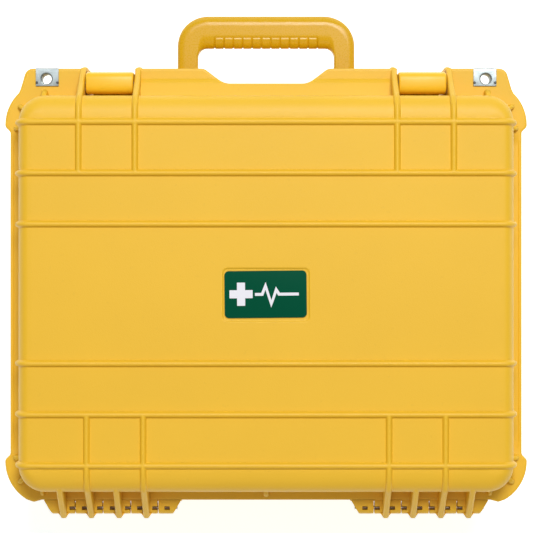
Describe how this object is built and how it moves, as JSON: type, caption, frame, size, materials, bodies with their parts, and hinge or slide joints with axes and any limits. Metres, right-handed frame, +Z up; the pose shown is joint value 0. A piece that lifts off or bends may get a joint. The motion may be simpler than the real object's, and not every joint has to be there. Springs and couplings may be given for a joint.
{
  "type": "defibrillator in a hard carrying box",
  "caption": "Automated external defibrillator with pads and battery, nested in foam inside a latched waterproof hard carrying box with a hinged lid and folding handle.",
  "frame": {"origin": "centre of the bounding box in plan, at the surface that the box lies on", "axes": "+Z up through the lid, -Y towards the handle and the latches, +Y towards the hinges, +X to the left of somebody who stands at the hinges and looks at the handle"},
  "size_m": [0.476, 0.4632, 0.186],
  "materials": {
    "shell_yellow": "fine-grained moulded polypropylene",
    "trim_yellow": "satin moulded nylon",
    "steel": "stainless",
    "seal_rubber": "soft black seal",
    "foam_grey": "open-cell foam",
    "label_green": "printed film",
    "unit_light": "fine-grained ABS",
    "unit_dark": "dark ABS",
    "shock_orange": "translucent key",
    "power_green": "satin key",
    "window_clear": "clear window",
    "foil_pouch": "foil laminate pouch",
    "board_green": "solder-masked board",
    "gel_pad": "gel-backed pad",
    "vent_black": "black nylon"
  },
  "bodies": {
    "base": {"base_shell": "shell_yellow", "hinge_pin_left": "steel", "hinge_pin_right": "steel", "padlock_eye_base_left": "steel", "padlock_eye_base_right": "steel", "handle_pin_left": "steel", "handle_pin_right": "steel", "vent_body": "vent_black", "vent_cap": "vent_black", "vent_nut": "vent_black", "base_foam_lower": "foam_grey", "base_foam_upper": "foam_grey", "spare_pads_pouch": "foil_pouch", "unit_rear_housing": "unit_dark", "unit_front_housing": "unit_light", "unit_bumper": "seal_rubber", "unit_handle": "unit_dark", "status_window": "window_clear", "speaker_grille": "unit_dark", "speaker_driver": "unit_dark", "pads_cartridge": "unit_light", "cartridge_pull_tab": "shock_orange", "electrode_pad_lower": "gel_pad", "electrode_pad_upper": "gel_pad", "circuit_board": "board_green", "shock_capacitor": "unit_dark", "battery_pack": "unit_dark", "battery_release_tab": "power_green", "unit_screw_1": "steel", "unit_screw_2": "steel", "unit_screw_3": "steel", "unit_screw_4": "steel"},
    "lid": {"lid_shell": "shell_yellow", "lid_gasket": "seal_rubber", "label_plate": "label_green", "padlock_eye_lid_left": "steel", "padlock_eye_lid_right": "steel", "lid_foam": "foam_grey", "latch_pin_left": "steel", "latch_pin_right": "steel"},
    "link_left": {"latch_link_left": "trim_yellow", "lever_pin_left": "steel"},
    "link_right": {"latch_link_right": "trim_yellow", "lever_pin_right": "steel"},
    "lever_left": {"latch_lever_left": "trim_yellow"},
    "lever_right": {"latch_lever_right": "trim_yellow"},
    "handle": {"carry_handle": "trim_yellow"},
    "power_key": {"power_button": "power_green"},
    "shock_key": {"shock_button": "shock_orange"}
  },
  "joints": [
    {"name": "lid_hinge", "type": "hinge", "parent": "base", "child": "lid", "pos_m": [0, 0.2218, 0.134], "axis": [-1, 0, 0], "range_deg": [0, 105]},
    {"name": "latch_link_left_hinge", "type": "hinge", "parent": "lid", "child": "link_left", "pos_m": [0.14165, -0.1649, 0.146], "axis": [-1, 0, 0], "range_deg": [0, 90]},
    {"name": "latch_lever_left_hinge", "type": "hinge", "parent": "link_left", "child": "lever_left", "pos_m": [0.14165, -0.1709, 0.103], "axis": [-1, 0, 0], "range_deg": [0, 80]},
    {"name": "latch_link_right_hinge", "type": "hinge", "parent": "lid", "child": "link_right", "pos_m": [-0.14165, -0.1649, 0.146], "axis": [-1, 0, 0], "range_deg": [0, 90]},
    {"name": "latch_lever_right_hinge", "type": "hinge", "parent": "link_right", "child": "lever_right", "pos_m": [-0.14165, -0.1709, 0.103], "axis": [-1, 0, 0], "range_deg": [0, 80]},
    {"name": "handle_fold", "type": "hinge", "parent": "base", "child": "handle", "pos_m": [0, -0.1644, 0.112], "axis": [1, 0, 0], "range_deg": [-15, 90]},
    {"name": "power_press", "type": "slide", "parent": "base", "child": "power_key", "axis": [0, 0, -1], "range_m": [0, 0.0015], "stiffness_N_per_m": 500},
    {"name": "shock_press", "type": "slide", "parent": "base", "child": "shock_key", "axis": [0, 0, -1], "range_m": [0, 0.0015], "stiffness_N_per_m": 500}
  ]
}
